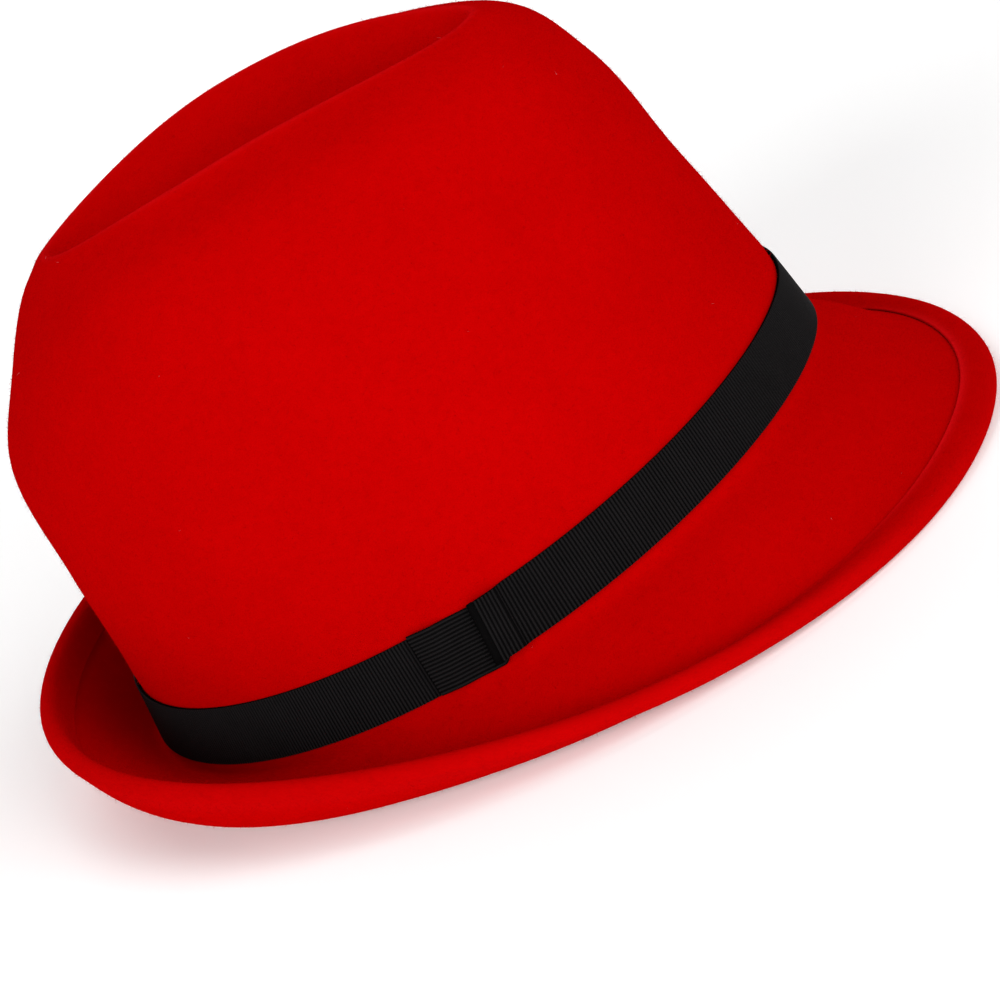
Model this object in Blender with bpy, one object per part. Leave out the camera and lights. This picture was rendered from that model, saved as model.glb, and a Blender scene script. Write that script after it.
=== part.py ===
"""A short-brimmed fedora of red wool felt, with a dented crown, a black grosgrain ribbon round the
crown's foot and a short ribbon keeper over the ribbon's joint.

Lengths are in metres and angles in degrees. The hat is shaped level, about the middle of the ring
where crown and brim meet, with +X to the front, +Y to the wearer's left and +Z up. An empty that
carries all three pieces then tips and lifts them to where the hat rests on the floor by itself.
Angles round the hat start at the front and pass the wearer's left.
"""

import math
from collections import namedtuple

import bmesh
import bpy
import numpy as np

# Crown, over the felt
HEAD_LENGTH = 0.2015
HEAD_WIDTH = 0.1690
CROWN_HEIGHT = 0.1233
DENT_DEPTH = 0.0240
DENT_FRONT = 0.35
PINCH_DEPTH = 0.0022
FELT = 0.0022

# Brim, along the felt from the crown's foot
BRIM_WIDTH = 0.0430
BREAK_ARC = 0.0058
WALL_SLOPE = 80.0
CURL_WIDTH = 0.0125
STRAIGHT_WIDTH = 0.0030
HEM_WIDTH = 0.0090
HEM_GAP = 0.0008

# Ribbon
RIBBON_WIDTH = 0.0160
RIBBON = 0.0009
CLEARANCE = 0.0003
RIBBON_SEAT = 0.0004
KEEPER_WIDTH = 0.0168
KEEPER_DROP = 0.0015
KEEPER_START = 267.8
KEEPER_LENGTH = 0.0227
MARGIN = 0.0055
FOLD_LENGTH = 0.0080

# How far the felt is flattened where it rests
SETTLE = 0.0004

# Mesh fineness
AROUND = 64
WIDTH_STEPS = 2

# Sections of the crown from its foot to the middle of the dent. Heights are shares of CROWN_HEIGHT
# and lie above the foot ring's middle; front and back are shares of half HEAD_LENGTH, side of half
# HEAD_WIDTH. A dent row's drop is a share of the dent's depth, which shrinks from DENT_DEPTH to its
# share DENT_FRONT at the front. Steps are mesh rows up to the next section.
Section = namedtuple("Section", "front_height side_height back_height drop front back side squareness steps")
CROWN = (
    Section(-0.023, -0.042, -0.023, 0.00, 1.000, 1.000, 1.012, 1.93, 3),
    Section(0.112, 0.098, 0.108, 0.00, 0.990, 0.966, 0.969, 1.96, 3),
    Section(0.400, 0.400, 0.400, 0.00, 0.950, 0.924, 0.912, 2.08, 3),
    Section(0.690, 0.714, 0.660, 0.00, 0.916, 0.873, 0.794, 2.08, 3),
    Section(0.832, 0.920, 0.768, 0.00, 0.855, 0.769, 0.605, 2.00, 3),
    Section(0.904, 0.981, 0.927, 0.00, 0.774, 0.578, 0.418, 1.75, 2),
    Section(0.912, 0.994, 0.955, 0.00, 0.750, 0.510, 0.386, 1.73, 2),
    Section(0.908, 0.983, 0.951, 0.10, 0.702, 0.452, 0.325, 1.70, 2),
    Section(0.900, 0.964, 0.937, 0.55, 0.570, 0.260, 0.160, 1.70, 2),
    Section(0.895, 0.945, 0.925, 0.95, 0.450, 0.070, 0.030, 1.70, 0),
)

# Brim at five turns from the front to the back. Width and curl are shares of BRIM_WIDTH and
# CURL_WIDTH; slope is the brim's rise, bend how far the slope changes from the crown to the curl, and
# edge the rise that the curl ends with, at the brim's edge. There the felt is folded back over the
# brim, as a hem that lies on it all round.
Station = namedtuple("Station", "turn width slope bend curl edge")
BRIM = (
    Station(0, 1.055, -50.8, 2.5, 1.41, -45.9),
    Station(45, 0.990, -41.8, -23.2, 0.75, -17.6),
    Station(90, 0.806, -30.2, 7.1, 1.03, 54.1),
    Station(135, 0.872, 18.1, 3.2, 1.37, 78.4),
    Station(180, 0.793, 53.0, 19.7, 0.83, 58.1),
)
BRIM_STEPS = 4
CURL_STEPS = 4
FOLD_STEPS = 5
HEM_STEPS = 2

# The soft pinch at the front of the crown: its turn from the front, the half widths of its hollow
# round the hat and up it, and the middle of its height, as shares of CROWN_HEIGHT
PINCH_TURN = 40.0
PINCH_SPREAD = 16.0
PINCH_RISE = 0.22
PINCH_MIDDLE = 0.66


def smooth(share):
    """Eases from 0 to 1."""
    share = np.clip(share, 0.0, 1.0)
    return share * share * (3 - 2 * share)


def between(turns, front, side, back):
    """Values at turns, blended from those at the front, the sides and the back."""
    along = np.cos(turns)
    end = np.where(along > 0, front, back)
    return side + (end - side) * along**2


def brim_value(turns, column):
    """A brim column at turns: the cosine series through its five stations."""
    places = np.radians([station.turn for station in BRIM])
    orders = np.arange(len(BRIM))
    values = [getattr(station, column) for station in BRIM]
    terms = np.linalg.solve(np.cos(np.outer(places, orders)), values)
    return np.cos(np.outer(turns, orders)) @ terms


def section_ring(turns, section):
    """Points of one crown section, as an array of turns by 3."""
    c, s = np.cos(turns), np.sin(turns)
    reach = (np.abs(c) ** section.squareness + np.abs(s) ** section.squareness) ** (-1 / section.squareness)
    length = np.where(c > 0, section.front, section.back) * HEAD_LENGTH / 2
    height = between(turns, section.front_height, section.side_height, section.back_height)
    return np.stack(
        [
            length * c * reach,
            section.side * HEAD_WIDTH / 2 * s * reach,
            height * CROWN_HEIGHT - section.drop * DENT_DEPTH * between(turns, DENT_FRONT, 1, 1),
        ],
        axis=-1,
    )


def tangents(rings):
    """The slope at each ring of a smooth curve through all of them, for the steps before and after it."""
    steps = np.diff(rings, axis=0)
    size = np.linalg.norm(steps, axis=-1, keepdims=True) + 1e-9
    unit = steps / size
    inner = (unit[:-1] * size[1:] + unit[1:] * size[:-1]) / (size[:-1] + size[1:])
    return np.concatenate([unit[:1], inner, unit[-1:]]), size


def crown_rows(turns):
    """Rings of the crown's outside from its foot to the middle of the dent."""
    rings = np.array([section_ring(turns, section) for section in CROWN])
    slope, size = tangents(rings)
    rows = []
    for i, section in enumerate(CROWN[:-1]):
        for step in range(section.steps):
            t = step / section.steps
            rows.append(
                (2 * t**3 - 3 * t**2 + 1) * rings[i]
                + (t**3 - 2 * t**2 + t) * slope[i] * size[i]
                + (3 * t**2 - 2 * t**3) * rings[i + 1]
                + (t**3 - t**2) * slope[i + 1] * size[i]
            )
    rows.append(rings[-1])
    return pinched(np.array(rows), turns)


def pinched(rows, turns):
    """The rows with a shallow hollow pressed into each side of the crown's front."""
    away = np.degrees(np.abs((turns + math.pi) % (2 * math.pi) - math.pi))
    round_hat = np.exp(-(((away - PINCH_TURN) / PINCH_SPREAD) ** 2))
    up_hat = np.exp(-(((rows[..., 2] / CROWN_HEIGHT - PINCH_MIDDLE) / PINCH_RISE) ** 2))
    inward = -rows * [1, 1, 0]
    inward /= np.linalg.norm(inward, axis=-1, keepdims=True) + 1e-9
    return rows + inward * (PINCH_DEPTH * round_hat * up_hat)[..., None]


def brim_rows(turns):
    """Rings of the brim's top from the row after the crown's foot to its edge, and on inside the hem's fold.

    Under the hem the rise is that of the brim it lies on, turned round.
    """
    foot = section_ring(turns, CROWN[0])
    ahead = section_ring(turns + 1e-4, CROWN[0]) - section_ring(turns - 1e-4, CROWN[0])
    outward = np.stack([ahead[:, 1], -ahead[:, 0], 0 * turns], axis=-1)
    outward /= np.linalg.norm(outward, axis=-1, keepdims=True)
    width = brim_value(turns, "width") * BRIM_WIDTH
    curl = brim_value(turns, "curl") * CURL_WIDTH
    flat = width - curl - STRAIGHT_WIDTH
    fold = math.pi * HEM_GAP / 2
    hem = HEM_WIDTH - HEM_GAP / 2 - FELT
    slope, bend, edge = (brim_value(turns, name) for name in ("slope", "bend", "edge"))
    stops = [flat * share for share in (0.06, 0.14)]
    stops += [flat * (0.14 + 0.86 * step / BRIM_STEPS) for step in range(1, BRIM_STEPS + 1)]
    stops += [flat + curl * step / CURL_STEPS for step in range(1, CURL_STEPS + 1)]
    stops.append(width)
    stops += [width + fold * step / FOLD_STEPS for step in range(1, FOLD_STEPS + 1)]
    stops += [width + fold + hem * step / HEM_STEPS for step in range(1, HEM_STEPS + 1)]
    rows, place, before, parts = [], foot, 0 * turns, 6
    for stop in stops:
        stretch = (stop - before) / parts
        for part in range(parts):
            middle = before + (part + 0.5) * stretch
            below = np.minimum(middle, width) - np.maximum(middle - width - fold, 0)
            here = slope + bend * (np.minimum(below / flat, 1) - 0.5)
            rise = -WALL_SLOPE + (here + WALL_SLOPE) * smooth(below / BREAK_ARC)
            rise += (edge - here) * smooth((below - flat) / curl)
            rise = np.radians(rise + 180 * np.clip((middle - width) / fold, 0, 1))
            place = place + outward * (np.cos(rise) * stretch)[:, None]
            place = place + np.outer(np.sin(rise) * stretch, [0, 0, 1])
        before = stop
        rows.append(place)
    return np.array(rows)


def material(name, colour, roughness):
    """A plain Principled material."""
    made = bpy.data.materials.new(name)
    made.use_nodes = True
    shader = made.node_tree.nodes["Principled BSDF"]
    shader.inputs["Base Color"].default_value = (*colour, 1)
    shader.inputs["Roughness"].default_value = roughness
    shader.inputs["Metallic"].default_value = 0.0
    return made


def piece(name, mesh, parent, finish):
    """An object for a finished bmesh, shaded smooth, with its material and parent."""
    data = bpy.data.meshes.new(name)
    bmesh.ops.recalc_face_normals(mesh, faces=mesh.faces)
    mesh.to_mesh(data)
    mesh.free()
    data.shade_smooth()
    data.materials.append(finish)
    made = bpy.data.objects.new(name, data)
    bpy.context.scene.collection.objects.link(made)
    made.parent = parent
    return made


def felt_surface():
    """The felt's outside as one sheet, from the middle of the dent down the crown, out to the brim's edge
    and back inside the hem."""
    turns = np.arange(AROUND) * 2 * math.pi / AROUND
    rows = np.concatenate([crown_rows(turns)[::-1], brim_rows(turns)])
    sheet = bmesh.new()
    rings = [[sheet.verts.new(point) for point in row] for row in rows]
    for inner, outer in zip(rings, rings[1:]):
        for i in range(AROUND):
            j = (i + 1) % AROUND
            sheet.faces.new((inner[i], outer[i], outer[j], inner[j]))
    floor = rings[0]
    for i in range(AROUND // 2):
        corners = [floor[i], floor[i + 1], floor[-i - 1], floor[-i]]
        sheet.faces.new(list(dict.fromkeys(corners)))
    return sheet


def wall_profiles(turns):
    """For each turn, the felt's profile from just below the crown's foot upward and lengths up it from the foot."""
    below = brim_rows(turns)[1::-1]
    rows = np.concatenate([below, crown_rows(turns)])
    steps = np.linalg.norm(np.diff(rows, axis=0), axis=-1)
    lengths = np.concatenate([0 * steps[:1], np.cumsum(steps, axis=0)])
    return np.swapaxes(rows, 0, 1), (lengths - lengths[len(below)]).T


def profile_place(profiles, lengths, distances):
    """Points at distances up the profiles, and the direction up the felt at each."""
    def at(offset):
        return np.array(
            [
                [np.interp(distance + offset, length, line[:, axis]) for axis in range(3)]
                for line, length, distance in zip(profiles, lengths, distances)
            ]
        )

    up = at(4e-4) - at(-4e-4)
    return at(0), up / np.linalg.norm(up, axis=1, keepdims=True)


def strip(name, turns, foot, top, lift, thickness, parent, finish):
    """A ribbon laid round the crown along turns, from foot to top up the felt, lifted off it by lift."""
    profiles, lengths = wall_profiles(turns)
    solid = bmesh.new()
    inside, outside = [], []
    for step in range(WIDTH_STEPS + 1):
        places, up = profile_place(profiles, lengths, foot + (top - foot) * step / WIDTH_STEPS)
        round_hat = np.gradient(places, axis=0)
        out = np.cross(round_hat, up)
        out /= np.linalg.norm(out, axis=1, keepdims=True)
        inside.append([solid.verts.new(p) for p in places + out * lift[:, None]])
        outside.append([solid.verts.new(p) for p in places + out * (lift + thickness)[:, None]])
    loop = inside + outside[::-1]
    for low, high in zip(loop, loop[1:] + loop[:1]):
        for i in range(len(turns) - 1):
            solid.faces.new((low[i], low[i + 1], high[i + 1], high[i]))
    solid.faces.new([line[0] for line in loop])
    solid.faces.new([line[-1] for line in loop])
    bmesh.ops.triangulate(solid, faces=[face for face in solid.faces if len(face.verts) > 4])
    return piece(name, solid, parent, finish)


def turn_of(length):
    """The turn that a length round the crown's side takes, in degrees."""
    return math.degrees(length / (HEAD_LENGTH / 2))


def ribbon_band(parent, finish):
    """The ribbon, from its end under the keeper's back, forward round the hat to its folded end."""
    keeper_end = KEEPER_START + turn_of(KEEPER_LENGTH)
    first = keeper_end - turn_of(MARGIN)
    last = KEEPER_START + turn_of(MARGIN) + 360
    step = 360 / AROUND
    fold = turn_of(FOLD_LENGTH)
    ramp = [first + turn_of(d) for d in (0.0015, MARGIN, MARGIN + 0.0025, MARGIN + 0.005)]
    grid = [i * step for i in range(2 * AROUND) if ramp[-1] + step / 2 < i * step < last - step / 3]
    degrees = np.array([first, *ramp, *grid, last])
    over = CLEARANCE + RIBBON + CLEARANCE
    lift = CLEARANCE + (over - CLEARANCE) * (1 - smooth((degrees - ramp[1]) / (ramp[-1] - ramp[1])))
    thick = RIBBON * (2 - smooth((degrees - first - fold) / turn_of(0.002)))
    foot = np.full(len(degrees), RIBBON_SEAT)
    return strip(
        "ribbon_band", np.radians(degrees), foot, foot + RIBBON_WIDTH, lift, thick, parent, finish
    )


def ribbon_keeper(parent, finish):
    """The short piece over the ribbon's back end, which dips to the felt and goes under its folded end.

    Its foot drops towards the folded end, and rises again under it, out of sight.
    """
    end = KEEPER_START + turn_of(KEEPER_LENGTH)
    fold = end - turn_of(MARGIN)
    degrees = np.concatenate([np.linspace(KEEPER_START, fold, 12), np.linspace(fold, end, 5)[1:]])
    over = CLEARANCE + RIBBON + CLEARANCE
    down = smooth((degrees - KEEPER_START - turn_of(MARGIN)) / turn_of(MARGIN))
    lift = over + (CLEARANCE - over) * down
    drop = KEEPER_DROP * np.clip((degrees - KEEPER_START) / (fold - KEEPER_START), 0, 1)
    tucked = smooth((degrees - fold) / turn_of(0.0025))
    foot = RIBBON_SEAT - drop * (1 - tucked)
    top = RIBBON_SEAT + KEEPER_WIDTH - drop
    thick = np.full(len(degrees), RIBBON)
    return strip(
        "ribbon_keeper", np.radians(degrees), foot, top, lift, thick, parent, finish
    )


def evaluated_points(thing):
    """The object's points as its modifiers leave them, in the hat's own frame."""
    graph = bpy.context.evaluated_depsgraph_get()
    mesh = thing.evaluated_get(graph).to_mesh()
    return np.array([vertex.co for vertex in mesh.vertices])


def resting(points):
    """The tilt and lift that put the lowest point of the hat's front and of its back on the floor."""
    tilt = 0.0
    for _ in range(40):
        x = points[:, 0] * math.cos(tilt) + points[:, 2] * math.sin(tilt)
        z = points[:, 2] * math.cos(tilt) - points[:, 0] * math.sin(tilt)
        front, back = (np.where(side, z, np.inf).argmin() for side in (x > 0, x < 0))
        tilt -= math.atan2(z[back] - z[front], x[front] - x[back])
    return tilt, -z.min(), (x.min() + x.max()) / 2


def clear_scene():
    for thing in list(bpy.data.objects):
        bpy.data.objects.remove(thing, do_unlink=True)


def main():
    clear_scene()
    red_felt = material("red_wool_felt", (0.44, 0.002, 0.003), 0.95)
    grosgrain = material("black_grosgrain", (0.012, 0.012, 0.013), 0.6)
    rest = bpy.data.objects.new("hat_rest", None)
    bpy.context.scene.collection.objects.link(rest)

    felt = piece("felt_body", felt_surface(), rest, red_felt)
    # the wall grows inward from the sheet, so its last face, the dent's floor, has to look up
    if felt.data.polygons[-1].normal.z < 0:
        felt.data.flip_normals()
    wall = felt.modifiers.new("felt wall", "SOLIDIFY")
    wall.thickness = FELT
    wall.offset = -1
    ribbon_band(rest, grosgrain)
    ribbon_keeper(rest, grosgrain)

    tilt, lift, middle = resting(evaluated_points(felt))
    rest.rotation_euler = (0, tilt, 0)
    rest.location = (-middle, 0, lift - SETTLE)

    bpy.ops.mesh.primitive_cube_add(size=1, location=(0, 0, -0.5))
    floor = bpy.context.object
    floor.name = "floor_cutter"
    floor.hide_render = True
    floor.display_type = "WIRE"
    flatten = felt.modifiers.new("flattened where it rests", "BOOLEAN")
    flatten.operation = "DIFFERENCE"
    flatten.object = floor
    bpy.context.view_layer.update()


main()
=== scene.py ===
"""The finished look of a short-brimmed fedora of red wool felt with a black grosgrain ribbon.

Lengths are in metres and angles in degrees. The hat is shaped level, with +X to the front and +Y to
the wearer's left, and then tipped to where it rests on the floor by itself. Angles round the hat
start at the front and pass the wearer's left.
"""

import math
from collections import namedtuple

import bmesh
import bpy
import numpy as np
from mathutils import Matrix, Vector


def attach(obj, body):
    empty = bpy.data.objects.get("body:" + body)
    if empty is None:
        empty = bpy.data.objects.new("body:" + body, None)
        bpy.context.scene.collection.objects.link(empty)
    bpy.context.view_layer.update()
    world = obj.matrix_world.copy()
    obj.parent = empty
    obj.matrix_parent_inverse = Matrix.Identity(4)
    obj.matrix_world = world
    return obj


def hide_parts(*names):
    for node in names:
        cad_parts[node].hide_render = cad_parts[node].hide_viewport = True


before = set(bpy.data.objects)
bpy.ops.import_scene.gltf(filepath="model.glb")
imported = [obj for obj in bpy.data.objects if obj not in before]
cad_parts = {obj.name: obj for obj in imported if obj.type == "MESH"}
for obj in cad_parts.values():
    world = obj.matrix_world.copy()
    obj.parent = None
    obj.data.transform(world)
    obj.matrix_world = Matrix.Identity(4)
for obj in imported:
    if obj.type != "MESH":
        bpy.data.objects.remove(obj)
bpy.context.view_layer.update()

# Crown, over the felt
HEAD_LENGTH = 0.2015
HEAD_WIDTH = 0.1690
CROWN_HEIGHT = 0.1233
DENT_DEPTH = 0.0240
DENT_FRONT = 0.35
PINCH_DEPTH = 0.0022
FELT = 0.0022

# Brim, along the felt from the crown's foot
BRIM_WIDTH = 0.0430
BREAK_ARC = 0.0058
WALL_SLOPE = 80.0
CURL_WIDTH = 0.0125
STRAIGHT_WIDTH = 0.0030
HEM_WIDTH = 0.0090
HEM_GAP = 0.0008
SETTLE = 0.0004

# Along the felt, how much of it the hem's fold takes up and how much lies inside the fold past that
FOLD_ARC = math.pi * HEM_GAP / 2
HEM_LAP = HEM_WIDTH - HEM_GAP / 2 - FELT

# The hem's raw edge: its thickness as a share of the felt's at the front and back and at the
# sides, how far from the hat's length, in degrees, the first begins to change and over how many it
# becomes the second, the powers by which the hem thins towards it and by which the front adds to
# that, the gap left under it, and the power that squares its cut
EDGE_SHARE = 0.34
SIDE_EDGE_SHARE = 0.15
SIDE_START = 15
SIDE_CHANGE = 30
THINNING = 1.3
FRONT_THINNING = 1.7
EDGE_GAP = 0.0002
SQUARE = 0.6

# A pale highlight painted into the felt's colour along the hem's raw edge, the ridge of the dent
# and the brim's outer edge: how far it reaches and how strong it is, and the share of it that the
# raw edge keeps away from the front. The reaches and that share also set where the nap is thicker.
EDGE_REACH = 0.0010
RIDGE_REACH = 0.0012
RIM_REACH = 0.003
EDGE_HIGHLIGHT = 1.8
RIDGE_HIGHLIGHT = 1.1
RIM_HIGHLIGHT = 0.35
SIDE_HIGHLIGHT = 0.1

# Ribbon and keeper: widths, the ribbon's thickness, the gap under each layer, the height above the
# crown's foot, and how far the keeper's foot drops. The keeper starts at a turn in degrees, and
# each of its ends laps one of the ribbon's by a margin. Then lengths along the ribbon: how soon the
# keeper's foot rises again under the fold, how much ribbon is folded under, how soon the ribbon
# comes down to the felt past that, how far the fold leans, and how far that reaches.
RIBBON_WIDTH = 0.0160
RIBBON = 0.0009
CLEARANCE = 0.0003
RIBBON_SEAT = 0.0004
KEEPER_WIDTH = 0.0168
KEEPER_DROP = 0.0015
KEEPER_START = 267.8
KEEPER_LENGTH = 0.0227
MARGIN = 0.0055
TUCK_LENGTH = 0.0025
FOLD_LENGTH = 0.0080
DESCENT = 0.005
FOLD_SLANT = 0.0016
SLANT_REACH = 0.014

# Ribs woven across the ribbon: their spacing, radius, height above the cloth, sides and distance
# from the ribbon's edge as a share of its width, then the cloth's thickness and the threads across
# the width
RIB_PITCH = 0.0010
RIB_RADIUS = 0.00034
RIB_RISE = 0.00030
RIB_SIDES = 8
RIB_INSET = 0.001
CLOTH = 0.0006
THREADS = 66

# Felt that swells over the tight ribbon: how much, and over what lengths it rises and sinks back
SWELL = 0.0005
SWELL_RISE = 0.003
SWELL_SINK = 0.014

# The felt's slight unevenness, over what lengths it grows above the ribbon and out along the brim,
# and how far out the brim stays even, then its waves: how long each is, which way it runs, and its
# phase in radians
UNEVEN = 0.00016
UNEVEN_UP = 0.015
UNEVEN_OUT = 0.012
EVEN_BRIM = 0.006
WAVES = (
    (0.034, (0.8, 0.5, 0.3), 0.4),
    (0.047, (-0.3, 0.9, 0.3), 2.1),
    (0.026, (0.2, -0.5, 0.8), 4.0),
    (0.061, (0.6, -0.2, -0.8), 5.2),
)

# Nap, and the few pale fibres that have settled on it: how many to the square metre, their length,
# the radius of their foot, how far they lean in radians, and the seed of their places. A fibre's
# own size is a share of that length and radius.
Fibres = namedtuple("Fibres", "density length radius lean seed")
NAP = Fibres(330000.0, 0.0012, 0.000035, 1.1, 3)
LINT = Fibres(900.0, 0.0011, 0.000045, 1.5, 8)
LEAST_FIBRE = 0.35
MOST_FIBRE = 1.3

# How thick the nap is on the outside, at the raw edge and on the other side of the brim, over what
# length it ends at the ribbon, and how high above the floor it starts
TOP_HAIR = 0.8
EDGE_HAIR = 2
UNDER_HAIR = 0.6
HAIR_END = 0.001
FLOOR_CLEAR = 0.0011

# Colours, each from its dark to its pale side
FELT_COLOURS = ((0.386, 0.0001, 0.0002, 1), (0.452, 0.0002, 0.0004, 1))
# The pale red of a painted highlight along the ridge, the raw edge and the brim's outer edge
HIGHLIGHT_COLOUR = (0.64, 0.005, 0.008, 1)
NAP_COLOURS = ((0.40, 0.0003, 0.0006, 1), (0.50, 0.002, 0.004, 1))
LINT_COLOURS = ((0.58, 0.04, 0.05, 1), (0.75, 0.22, 0.22, 1))
RIB_COLOURS = ((0.0045, 0.0041, 0.0043, 1), (0.0108, 0.0097, 0.0102, 1))
# The cloth between the ribs, coloured darker than them as painted shade in the gaps
SHADED_GROUND_COLOURS = ((0.0018, 0.0017, 0.0018, 1), (0.0040, 0.0037, 0.0038, 1))
RIB_GLOSS = 0.03

# Textures: how many features to the metre a noise has, its detail, roughness and distortion, how
# much it shades the colour, and the height that it gives the surface. Then the same two for the
# ribbon's threads, and how far its shade is moved to the dark side.
Grain = namedtuple("Grain", "scale detail roughness distortion shade height")
STRANDS = Grain(1500, 3, 0.6, 0.8, 0.5, 0.00009)
PITS = Grain(420, 4, 0.55, 0.6, 1.2, 0.00009)
PATCHES = Grain(60, 3, 0.5, 0.4, 0.7, 0.00025)
CLOUDS = Grain(18, 2, 0.5, 0.2, 0.5, 0.0)
FIBRE_TINT = Grain(300, 2, 0.5, 0.0, 1.0, 0.0)
FUZZ = Grain(2500, 3, 0.6, 0.5, 0.6, 0.00005)
DULL_PLACES = Grain(130, 3, 0.5, 0.3, 0.6, 0.0)
THREAD_SHADE = 0.12
THREAD_HEIGHT = 0.000012
RIBBON_DARKER = 0.1

# Three ways in which the felt's strands lie: how they are drawn out, and how that is turned in
# radians. Then how much of the painted highlight's colour shows.
STRAND_WAYS = (
    ((4.0, 1.0, 1.0), (0.3, 0.5, 0.2)),
    ((1.0, 4.5, 1.0), (0.9, -0.4, 0.7)),
    ((1.0, 1.0, 4.0), (-0.6, 0.3, 1.4)),
)
HIGHLIGHT_STRENGTH = 0.55

# Mesh fineness: columns round the felt, how finely its sections are divided, in how many parts a
# step of the brim is bent, and the raw edge's rows. Then the ribbon's steps and rows, the points of
# its end under the fold and of the turn there, its finer steps past that and where they end, and
# the keeper's steps.
AROUND = 288
FINE = 3
PARTS = 6
EDGE_ROWS = 6
RIBBON_STEP = 0.0014
RIBBON_ROWS = 8
UNDER_POINTS = 5
TURN_POINTS = 9
DESCENT_STEP = 0.0008
DESCENT_END = 0.0130
KEEPER_STEPS = 32

# How far to either side a slope is read: round a ring and round and up the felt
RING_PROBE = 1e-4
TURN_PROBE = 0.01
HEIGHT_PROBE = 4e-4

# How often the felt's normals are evened out and its tilt on the floor is corrected, and what keeps
# a length or an area that divides from being 0
NORMAL_PASSES = 2
TILT_PASSES = 40
SMALL_LENGTH = 1e-9
SMALL_AREA = 1e-12

# Sections of the crown from its foot to the middle of the dent. Heights are shares of CROWN_HEIGHT
# and lie above the foot ring's middle; front and back are shares of half HEAD_LENGTH, side of half
# HEAD_WIDTH. A dent row's drop is a share of the dent's depth, which shrinks from DENT_DEPTH to its
# share DENT_FRONT at the front. Steps are mesh rows up to the next section.
Section = namedtuple(
    "Section", "front_height side_height back_height drop front back side squareness steps"
)
CROWN = (
    Section(-0.023, -0.042, -0.023, 0.00, 1.000, 1.000, 1.012, 1.93, 3),
    Section(0.112, 0.098, 0.108, 0.00, 0.990, 0.966, 0.969, 1.96, 3),
    Section(0.400, 0.400, 0.400, 0.00, 0.950, 0.924, 0.912, 2.08, 3),
    Section(0.690, 0.714, 0.660, 0.00, 0.916, 0.873, 0.794, 2.08, 3),
    Section(0.832, 0.920, 0.768, 0.00, 0.855, 0.769, 0.605, 2.00, 3),
    Section(0.904, 0.981, 0.927, 0.00, 0.774, 0.578, 0.418, 1.75, 2),
    Section(0.912, 0.994, 0.955, 0.00, 0.750, 0.510, 0.386, 1.73, 2),
    Section(0.908, 0.983, 0.951, 0.10, 0.702, 0.452, 0.325, 1.70, 2),
    Section(0.900, 0.964, 0.937, 0.55, 0.570, 0.260, 0.160, 1.70, 2),
    Section(0.895, 0.945, 0.925, 0.95, 0.450, 0.070, 0.030, 1.70, 0),
)

# The section that is the ridge of the dent
RIDGE = 6

# Brim at five turns from the front to the back. Width and curl are shares of BRIM_WIDTH and
# CURL_WIDTH; slope is the brim's rise, bend how far the slope changes from the crown to the curl,
# and edge the rise that the curl ends with, at the brim's edge. There the felt is folded back over
# the brim, as a hem that lies on it all round.
Station = namedtuple("Station", "turn width slope bend curl edge")
BRIM = (
    Station(0, 1.055, -50.8, 2.5, 1.41, -45.9),
    Station(45, 0.990, -41.8, -23.2, 0.75, -17.6),
    Station(90, 0.806, -30.2, 7.1, 1.03, 54.1),
    Station(135, 0.872, 18.1, 3.2, 1.37, 78.4),
    Station(180, 0.793, 53.0, 19.7, 0.83, 58.1),
)

# Rows of the brim's mesh: two near the crown, as shares of its flat part, and the steps in the rest
# of that, in the curl, in the hem's fold and inside it
BREAK_ROWS = (0.06, 0.14)
BRIM_STEPS = 4
CURL_STEPS = 4
FOLD_STEPS = 5
HEM_STEPS = 2

# The soft pinch at the front of the crown: its turn from the front, the half widths of its hollow
# round the hat and up it, and the middle of its height, as shares of CROWN_HEIGHT
PINCH_TURN = 40.0
PINCH_SPREAD = 16.0
PINCH_RISE = 0.22
PINCH_MIDDLE = 0.66

# Camera, in the level hat's frame: its turn, height and roll, how far it stands from the foot
# ring's middle, and its lens for a picture 1 unit wide, whose middle lies at VIEW_MIDDLE from the
# left and top
CAMERA_TURN = 19.3
CAMERA_HEIGHT = 19.4
CAMERA_ROLL = -36.45
CAMERA_DISTANCE = 1.159
VIEW_LENS = 4.530
VIEW_MIDDLE = (0.475, 0.5107)
SENSOR = 36.0

# Broad soft lights: the way towards each in the camera's own frame, right, up and back, and the
# brightness of a white card that faces it
SoftLight = namedtuple("SoftLight", "right up back strength")
SOFT_LIGHTS = (
    SoftLight(0.50, 0.00, 0.87, 0.66),
    SoftLight(-0.60, -0.35, 0.80, 0.74),
    SoftLight(0.25, 0.75, 0.60, 0.39),
    SoftLight(-0.60, 0.75, -0.30, 0.38),
    SoftLight(0.70, 0.80, -0.50, 0.08),
)

# The lights' spread, the strength of the even surround, and the floor's half width, depth and glow
SPREAD = 50.0
SURROUND = 0.01
FLOOR_REACH = 5
FLOOR_DEPTH = 5e-5
FLOOR_GLOW = 0.2


class Wire:
    """A socket of a node tree. Maths on a number's wire adds Math nodes to its tree."""

    def __init__(self, tree, socket):
        self.tree = tree
        self.socket = socket

    def maths(self, operation, *values):
        return self.tree.add("ShaderNodeMath", {"operation": operation}, dict(enumerate(values)))

    def __add__(self, other):
        return self.maths("ADD", self, other)

    def __sub__(self, other):
        return self.maths("SUBTRACT", self, other)

    def __rsub__(self, other):
        return self.maths("SUBTRACT", other, self)

    def __mul__(self, other):
        return self.maths("MULTIPLY", self, other)

    __radd__ = __add__
    __rmul__ = __mul__

    def other(self, name):
        """Another output of this wire's node."""
        return Wire(self.tree, self.socket.node.outputs[name])


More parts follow.
